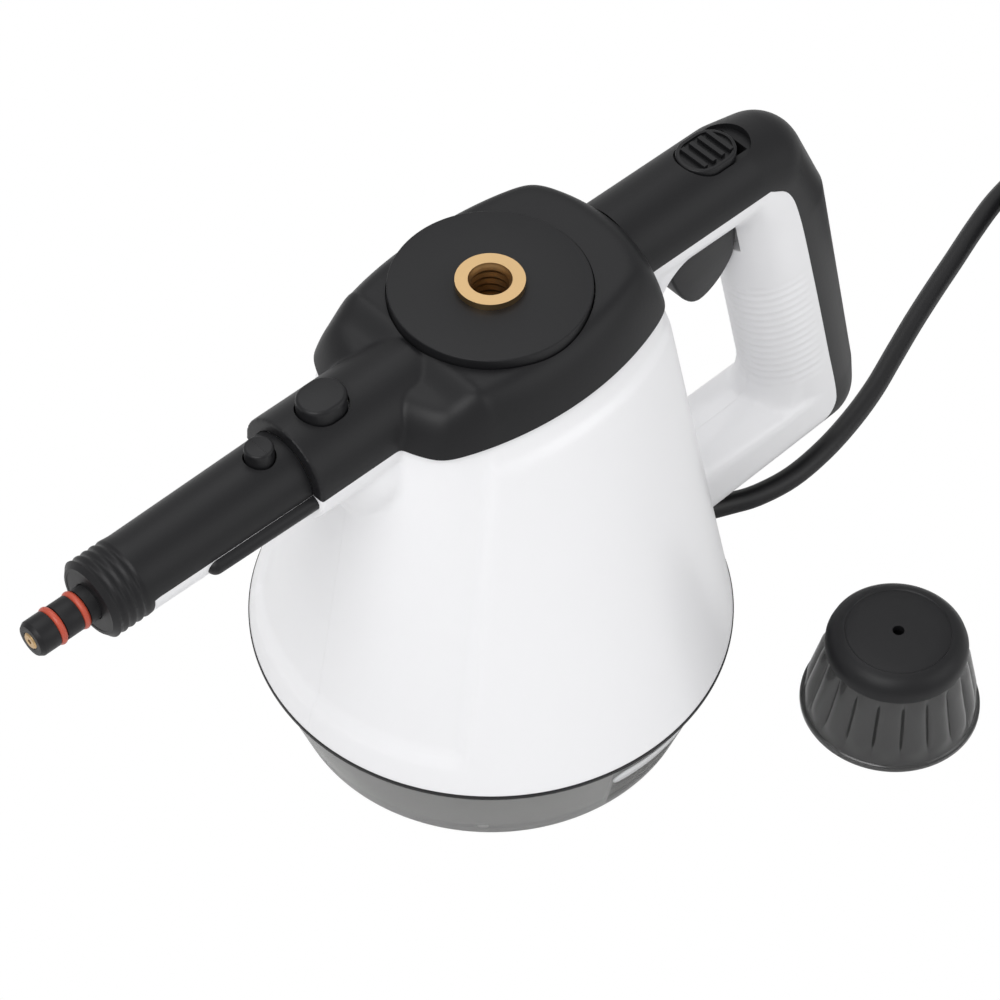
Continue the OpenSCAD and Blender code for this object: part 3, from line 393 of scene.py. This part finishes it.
def wedge(corner, start, end, side, n=10):
    """A concave corner fillet in the XZ plane that sinks with the round bars on both sides of it."""
    c, s, e = (Vector(v) for v in (corner, start, end))
    arc = [s * (1 - t) ** 2 + c * 2 * t * (1 - t) + e * t * t for t in [i / n for i in range(n + 1)]]
    out = c + (c - (s + e) / 2) * 0.6
    rings = []
    for y in (-13, -12, -10, -8, -5, 0, 5, 8, 10, 12, 13):
        sag = 1 - math.sqrt(1 - (y / 15) ** 2)
        move = Vector((side[0] * sag, side[1] * sag))
        rings.append([(p.x, y, p.y) for p in [out + move * 1.3] + [q + move for q in arc]])
    return loft(rings)


def soften(obj, voxel, times):
    """Remeshes a union of overlapping forms and relaxes it."""
    mod = obj.modifiers.new("one", "REMESH")
    mod.mode = "VOXEL"
    mod.voxel_size = voxel * MM
    ease = obj.modifiers.new("ease", "SMOOTH")
    ease.factor = 0.5
    ease.iterations = times
    deps = bpy.context.evaluated_depsgraph_get()
    mesh = bpy.data.meshes.new_from_object(obj.evaluated_get(deps))
    obj.modifiers.clear()
    obj.data = mesh


grip_x, grip_z = 0.2326, -0.9726
form = loft(body_rings(0, rim_z - 6, part_z + 8, True, 300, 90))
swallow(form, rod(15, 95 - 39.5, along_x(39.5), steps=96))
bar_end = [(95, 15 * math.cos(a), part_z + 15 * math.sin(a)) for a in [math.tau * i / 72 for i in range(72)]]
swallow(form, hull_of(*bar_end, *ball(106, 0, 153, 15), *grip_ring(112, 134)))
swallow(form, hull_of(*grip_ring(112, 134.5), *grip_ring(134, 42)))
swallow(form, hull_of(*grip_ring(134, 42.5), *ball(139, 0, 33, 15), *foot_ring(66)))
swallow(form, wedge((60, 142), (56, 126), (76, 142), (-4, 15)))
swallow(form, wedge((95, 140), (80, 142), (97, 124), (20, 15)))
swallow(form, wedge((74, 44), (70, 60), (90, 44), (-3, -7)))
swallow(form, wedge((114, 44), (98, 44), (109.5, 62), (20, -7)))
swallow(form, rod(16.2, 77 - 30, along_x(-77), steps=96))
swallow(form, hull_of(*ball(-47, 0, 143, 17, 16), *ball(-40, 0, 120, 13, 16)))
soft = piece("soft_form", form, None, None, smooth=0)
soften(soft, 0.9, 9)
bm = bmesh.new()
bm.from_mesh(soft.data)
bm.normal_update()
for v in bm.verts:
    x, y, z = v.co / MM
    along = (x - 112) * grip_x + (z - 134) * grip_z
    inner = (x - (112 + along * 0.24)) / 20
    mask = smooth_step((along - 22) / 6) * smooth_step((82 - along) / 6) * smooth_step((0.05 - inner) / 0.25)
    mask *= smooth_step((inner + 1.3) / 0.15)
    if mask:
        v.co -= v.normal * MM * 0.45 * mask * (0.5 + 0.5 * math.cos(math.tau * along / 3.6))
bm.to_mesh(soft.data)
bm.free()

strip_edge = [(39.5, 156), (98, 156), (106, 150), (112, 136), (121, 103), (131, 64), (137, 40), (136.5, 32),
              (132, 25), (126, 22), (66, 22), (66, -10), (260, -10), (260, 200), (39.5, 200)]


def strip_prism(grow=0.0):
    """The space outside the line where black meets white on the handle."""
    edge = [tuple(p) for p in eased([(x, z, 0) for x, z in strip_edge[1:11]], 2)]
    line = [(39.5 + grow, 156)] + [(x + grow * 0.8, z + grow * 0.5) for x, z, _ in edge] + strip_edge[11:14]
    return loft([[(x, y, z) for x, z in line + [(39.5 + grow, 200)]] for y in (-90, 90)])


def copy_of(obj, name, body, slot, *nodes):
    new = bpy.data.objects.new(name, obj.data.copy())
    scene.collection.objects.link(new)
    new.data.materials.clear()
    new.data.materials.append(finishes[slot])
    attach(new, body)
    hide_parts(*nodes)
    return new


def crisp(obj, angle=34):
    obj.data.polygons.foreach_set("use_smooth", [True] * len(obj.data.polygons))
    obj.data.set_sharp_from_angle(angle=math.radians(angle))


trigger_slot = [cube((59, -6.5, 138), (97, 6.5, 158)), cube((82, -6.5, 126), (98, 6.5, 157))]
hollows = [loft(body_rings(2.4, 30, 157, True, 120, 40)), rod(12.6, 70, along_x(27)), rod(13.8, 44, along_x(-74.6))]
hollows += trigger_slot
hollows += [cube((-250, -120, 156), (39.6, 120, 260)), cube((-250, -120, -20), (66, 120, rim_z)),
            cube((0, 15.1, -20), (100, 120, rim_z)), cube((0, -120, -20), (100, -15.1, rim_z))]
hollows += [rod(63.6, 34.4, Matrix(), 74.6, 128), rod(2.2, 150, along_x(-180)), rod(1.6, 23, Matrix.Translation((66, 11.5, 147))
            @ Matrix.Rotation(math.pi / 2, 4, "X"))]
for hollow in hollows:
    carve(soft, hollow)
for x, z in ((118, 104), (128, 66), (92, 33), (-58, 146)):
    turn = Matrix.Translation((x, 60, z)) @ Matrix.Rotation(math.pi / 2, 4, "X")
    carve(soft, rod(3.2, 51, turn, steps=32))
    carve(soft, rod(1.5, 68.5, turn, steps=24))

strip = copy_of(soft, "handle_band", "root", "black_casing", "handle_strip")
carve(strip, strip_prism(0.15), "INTERSECT")
carve(strip, cube((-100, -100, -10), (45.7, 100, 300)))
carve(strip, rod(77, rim_z + 0.2, Matrix.Translation((0, 0, -0.2)), steps=128))
carve(strip, lathe([(15.02, 0), (60, 0), (60, 20), (15.02, 20)], 96, along_x(39.5)))
carve(strip, oval(25.5, 16, 20, Matrix.Translation((87.75, 0, 167.4))))
carve(strip, cube((80, -3, 160), (96, 3, 175)))
crisp(strip)
carve(soft, strip_prism(0))
for name, lo, hi, node in (("body_left", (-300, -0.02, -50), (300, 200, 300), "body_shell_left"),
                           ("body_right", (-300, -200, -50), (300, 0.02, 300), "body_shell_right")):
    half = copy_of(soft, name, "root", "white_casing", node)
    carve(half, cube(lo, hi))
    crisp(half)
bpy.data.objects.remove(soft)


# ---------------------------------------------------------------- nozzle
# Barrel: ridged nose all round, black above the parting plane and white below it.
def ridge_profile(x0, r0, x1, r1, ridges, inner):
    """Outer line of the barrel from its front to its rear as (radius, distance), closed by the bore."""
    out = [(inner, x0), (r0 - 1.3, x0), (r0 - 0.3, x0 + 0.9)]
    for k in range(ridges * 10 + 1):
        x = x0 + 1.4 + k * 0.26
        out.append((r0 + 0.05 + 0.24 * math.cos(math.tau * k / 10), x))
    return out + [(r0, x0 + 15), (r1, x1), (inner, x1)]


barrel = piece("barrel_top", lathe(ridge_profile(0, 11.65, 68.4, 12.35, 4, 9.4), 160, along_x(-145.4)), "root",
               "black_casing", "nozzle_barrel")
carve(barrel, cube((-132.2, -20, 130), (-60, 20, 156)))
piece("barrel_front", lathe(rounded([(5.45, 0), (9.8, 0), (9.8, 2.4), (5.45, 2.4)], 0.3), 96, along_x(-145.3)),
      "root", "black_casing")
carve(barrel, rod(4.7, 20, Matrix.Translation((-85, 0, 158)), steps=48))
for side, name in ((1, "right"), (-1, "left")):
    low = lathe([(9.4, 0), (11.7, 0), (12.35, 55), (9.4, 55)], 160, along_x(-132))
    under = piece("barrel_low_" + name, low, "root", "white_casing")
    carve(under, cube((-200, -20, 156), (-60, 20, 180)))
    carve(under, cube((-200, -0.02 if side < 0 else -20, 130), (-60, 20 if side < 0 else 0.02, 160)))
    crisp(under)
rail = hull_of(*ball(-111, -11.2, 153.2, 2.8, 12), *ball(-76, -11.9, 153.2, 2.8, 12))
piece("side_rail", rail, "root", "black_casing")
crisp(barrel)

tip = [(1.5, 40), (1.5, 0.6), (2.6, 0.6), (2.6, 0), (4.6, 0), (5.35, 1.2)]
for middle in (7.6, 15.4):
    tip += [(5.35, middle - 1.2), (3.58, middle - 1.2), (3.58, middle + 1.2), (5.35, middle + 1.2)]
tip += [(5.35, 22.2), (8.6, 22.2), (8.6, 26.1), (5.35, 26.1), (5.35, 36.1), (2.66, 36.1), (2.66, 28.2), (1.5, 28.2)]
piece("spigot", lathe(rounded(tip[1:], 0.12, 2), 96, along_x(-165)), "root", "black_casing", "nozzle_tip")
seals = bmesh.new()
for middle in (7.6, 15.4):
    section = [(4.7 + 1.1 * math.cos(a), middle + 1.1 * math.sin(a)) for a in [math.tau * i / 20 for i in range(20)]]
    swallow(seals, lathe(section, 96, along_x(-165)))
piece("seal_rings", seals, "root", "red_seal", "tip_orings")
piece("jet", lathe(rounded([(0.72, 0), (2.1, 0), (2.55, 0.5), (2.55, 9.6), (1.5, 9.6), (1.5, 2.4), (0.72, 2.4)], 0.1),
                   64, along_x(-165.3)), "root", "brass", "steam_jet")


# ---------------------------------------------------------------- top cover, disc and filler
# A domed cover with a valley behind the collar, a round seat for the disc and a bevelled rear.
def cover_height(x, y, inset):
    a = math.atan2(y, x)
    rho = math.hypot(x, y)
    edge = max(shoulder(a, inset) - rho, 0)
    crown = 172 + (x + 27) * 0.037 - 0.0009 * y * y
    if x < -27:
        crown = 172 - 3.2 * smooth_step((-27 - x) / 10)
    if x > 40:
        crown -= (x - 40) * 0.21
    rise = 1 - max(1 - edge / 13, 0) ** 3
    return part_z - 1 + (crown - part_z + 1 - inset) * rise


def cover_form(inset):
    rings = []
    for j in range(64):
        rho = math.sin(math.pi / 2 * (j + 1) / 64)
        points = []
        for i in range(240):
            a = math.tau * i / 240
            r = shoulder(a, inset) * rho
            x, y = r * math.cos(a), r * math.sin(a)
            points.append((x, y, cover_height(x, y, inset)))
        rings.append(points)
    bottom = [(x, y, part_z - 8) for x, y, _ in rings[-1]]
    return loft(rings + [bottom])


lid = cover_form(0)
swallow(lid, rod(16.2, 47, along_x(-77), steps=128))
cover = piece("cover_dome", lid, None, None, smooth=0)
soften(cover, 0.6, 8)
for tool in (cover_form(2.6), rod(13.8, 29, along_x(-74.6)), rod(12.6, 40, along_x(27.5)),
             cube((-200, -100, 100), (200, 100, part_z)), rod(15.1, 40, along_x(45.5), steps=96),
             rod(29.5, 20, Matrix.Translation((0, 0, 170)), steps=160), rod(8.1, 60, Matrix.Translation((0, 0, 140))),
             rod(12.5, 8, along_x(-80), steps=96), oval(16, 13.5, 40, Matrix.Translation((-62.5, 0, 156)))):
    carve(cover, tool)
lid = copy_of(cover, "top_dome", "root", "black_casing", "top_cover")
crisp(lid)
bpy.data.objects.remove(cover)

piece("disc", lathe(rounded([(8.1, 170), (29.1, 170), (29.1, 175), (8.1, 175)], 0.5), 192), "root", "black_casing",
      "filler_disc")
neck = [(8, 123.7), (8, 175), (10, 175), (10, 177.2), (6.3, 177.2)]
for k in range(16):
    neck += [(6.05, 176.2 - k * 2.6), (5.42, 175.2 - k * 2.6), (5.42, 174.7 - k * 2.6), (6.05, 173.7 - k * 2.6)]
neck += [(5.4, 132), (5.4, 123.7)]
piece("neck", lathe(neck, 96), "root", "brass", "filler_neck", smooth=50)


# ---------------------------------------------------------------- trigger, switch and release
# The trigger's outline is eased and bevelled; the switch has a raised rim and four cross ribs.
def plate(outline, half, bevel):
    bm = loft([[(x, y, z) for x, z in outline] for y in (-half, half)])
    bm.normal_update()
    sides = [e for e in bm.edges if len(e.link_faces) == 2 and
             (abs(e.link_faces[0].normal.y) > 0.5) != (abs(e.link_faces[1].normal.y) > 0.5)]
    bmesh.ops.bevel(bm, geom=sides, offset=bevel, segments=3, affect="EDGES", profile=0.5)
    return bm


blade = [(64, 143.5), (67, 151), (93, 151), (94, 131), (92, 124), (86, 118), (79, 116), (73, 121), (68, 131)]
eased_blade = [(p.x, p.y) for p in eased([(x, z, 0) for x, z in blade[2:] + blade[:1]], 1.5)]
trigger = piece("trigger_blade", plate([blade[1]] + eased_blade, 6, 0.9), "trigger", "black_button", "trigger")
arm = piece("trigger_arm", cube((58.7, -2.5, 145), (67.7, 2.5, 162)), "trigger", "black_button")
for part in (trigger, arm):
    carve(part, rod(1.55, 40, Matrix.Translation((66, 20, 147)) @ Matrix.Rotation(math.pi / 2, 4, "X"), steps=32))

lock = piece("lock_knob", oval(19.2, 15, 3.4, Matrix.Translation((85.2, 0, 167.5)), 0.7), "lock", "black_button",
             "lock_slide")
carve(lock, oval(16.8, 12.4, 3, Matrix.Translation((85.2, 0, 170.1))))
for k in range(4):
    piece(f"lock_rib_{k}", cube((79.5 + k * 3.5, -5, 169.5), (81 + k * 3.5, 5, 171.5)), "lock", "black_button")
piece("lock_stem", cube((81, -2.4, 163.4), (89, 2.4, 167.6)), "lock", "black_button")
piece("oval_button", oval(15, 12.5, 10.8, Matrix.Translation((-62.5, 0, 165.2)), 1.2), "release", "black_button",
      "release_button")
pin = oval(8.4, 8.39, 8.5, Matrix.Translation((-85, 0, 163.6)), 0.8)
swallow(pin, cube((-85, -2.5, 163.6), (-56.5, 2.5, 165.2)))
piece("catch", pin, "release", "black_button", "catch_slide")

# ---------------------------------------------------------------- cap beside the body
# Fluted translucent skirt, domed black top with a bare face and a vent.
cap_x, cap_y = 83.2, -93.7
rings = []
for r0, z in ((28.0, 0), (28.2, 0.3), (28.1, 1.5), (27.2, 1.7), (27.0, 2.2)):
    rings.append([(r0 * math.cos(a), r0 * math.sin(a), z) for a in [math.tau * i / 360 for i in range(360)]])
for j in range(1, 13):
    t = j / 12
    depth = 0.9 * smooth_step(t * 4) * smooth_step((1 - t) * 6)
    rings.append([((27.0 - 5.5 * t + depth * (abs(math.cos(9 * a)) ** 0.7 * 2 - 1)) * math.cos(a),
                   (27.0 - 5.5 * t + depth * (abs(math.cos(9 * a)) ** 0.7 * 2 - 1)) * math.sin(a), 2.2 + 24.8 * t)
                  for a in [math.tau * i / 360 for i in range(360)]])
for r0, z in ((19.7, 27), (25.0, 2), (25.2, 0)):
    rings.append([(r0 * math.cos(a), r0 * math.sin(a), z) for a in [math.tau * i / 360 for i in range(360)]])
flutes = bmesh.new()
loops = []
for points in rings:
    verts = [flutes.verts.new((x + cap_x, y + cap_y, z)) for x, y, z in points]
    loops.append([flutes.edges.new((verts[i], verts[(i + 1) % 360])) for i in range(360)])
for a, b in zip(loops, loops[1:] + loops[:1]):
    bmesh.ops.bridge_loops(flutes, edges=a + b)
flutes = piece("cap_flutes", flutes, "cap", "smoke_clear", "cap_skirt", smooth=60)
flutes.data.materials[0] = cap_smoke
at_cap = Matrix.Translation((cap_x, cap_y, 0))
crown = [(0.0, 32.8), (15.3, 32.8), (20.3, 30), (20.3, 27), (22.1, 27), (22.1, 29.6), (21.4, 31.6), (19.6, 33.5),
         (17.8, 34.6), (16.6, 34.8), (16.2, 34.5), (15.9, 34.6), (12, 34.9), (0.0, 35)]
top = piece("cap_crown", lathe(crown, 160, at_cap), "cap", "black_casing", "cap_top", smooth=30)
carve(top, rod(1.85, 12, Matrix.Translation((cap_x, cap_y, 30)), steps=48))

# ---------------------------------------------------------------- CAD nodes that stay
# The pieces inside, the base, the gland, the tie and the plug keep their CAD shapes.
slots = {s["node"]: s["material_slot"] for s in frame["record"]["subparts"]}
for name, node in frame["nodes"].items():
    node.data.materials.clear()
    node.data.materials.append(finishes[slots[name]])

# ---------------------------------------------------------------- floor, light and background
# A pale floor that the camera sees as plain white, a large soft key, a fill and a top light.
floor = bpy.data.objects.new("floor", bpy.data.meshes.new("floor"))
bm = bmesh.new()
bmesh.ops.create_grid(bm, x_segments=1, y_segments=1, size=6)
bm.to_mesh(floor.data)
bm.free()
floor.location = (0, 0, -0.0002)
scene.collection.objects.link(floor)
paper = bpy.data.materials.new("paper")
paper.use_nodes = True
nodes = paper.node_tree.nodes
ray = nodes.new("ShaderNodeLightPath")
glow = nodes.new("ShaderNodeEmission")
glow.inputs["Color"].default_value = (1, 1, 1, 1)
mix = nodes.new("ShaderNodeMixShader")
nodes["Principled BSDF"].inputs["Base Color"].default_value = (0.8, 0.8, 0.8, 1)
nodes["Principled BSDF"].inputs["Roughness"].default_value = 0.8
paper.node_tree.links.new(ray.outputs["Is Camera Ray"], mix.inputs["Fac"])
paper.node_tree.links.new(nodes["Principled BSDF"].outputs[0], mix.inputs[1])
paper.node_tree.links.new(glow.outputs[0], mix.inputs[2])
paper.node_tree.links.new(mix.outputs[0], nodes["Material Output"].inputs["Surface"])
floor.data.materials.append(paper)

world = bpy.data.worlds.new("studio")
scene.world = world
world.use_nodes = True
world.node_tree.nodes["Background"].inputs["Color"].default_value = (1, 1, 1, 1)
seen = world.node_tree.nodes.new("ShaderNodeLightPath")
level = world.node_tree.nodes.new("ShaderNodeMapRange")
level.inputs["To Min"].default_value = 0.6
level.inputs["To Max"].default_value = 1.0
world.node_tree.links.new(seen.outputs["Is Camera Ray"], level.inputs["Value"])
world.node_tree.links.new(level.outputs["Result"], world.node_tree.nodes["Background"].inputs["Strength"])
for name, place, size, power in (("key", (-0.9, -0.3, 1.3), 0.9, 12), ("fill", (0.7, -1.2, 0.8), 1.0, 4.5),
                                 ("top", (0.3, 0.6, 1.6), 1.2, 7)):
    lamp = bpy.data.objects.new(name, bpy.data.lights.new(name, "AREA"))
    lamp.data.energy = power
    lamp.data.size = size
    lamp.location = place
    lamp.rotation_euler = (Vector((0.05, 0, 0.08)) - Vector(place)).to_track_quat("-Z", "Y").to_euler()
    scene.collection.objects.link(lamp)
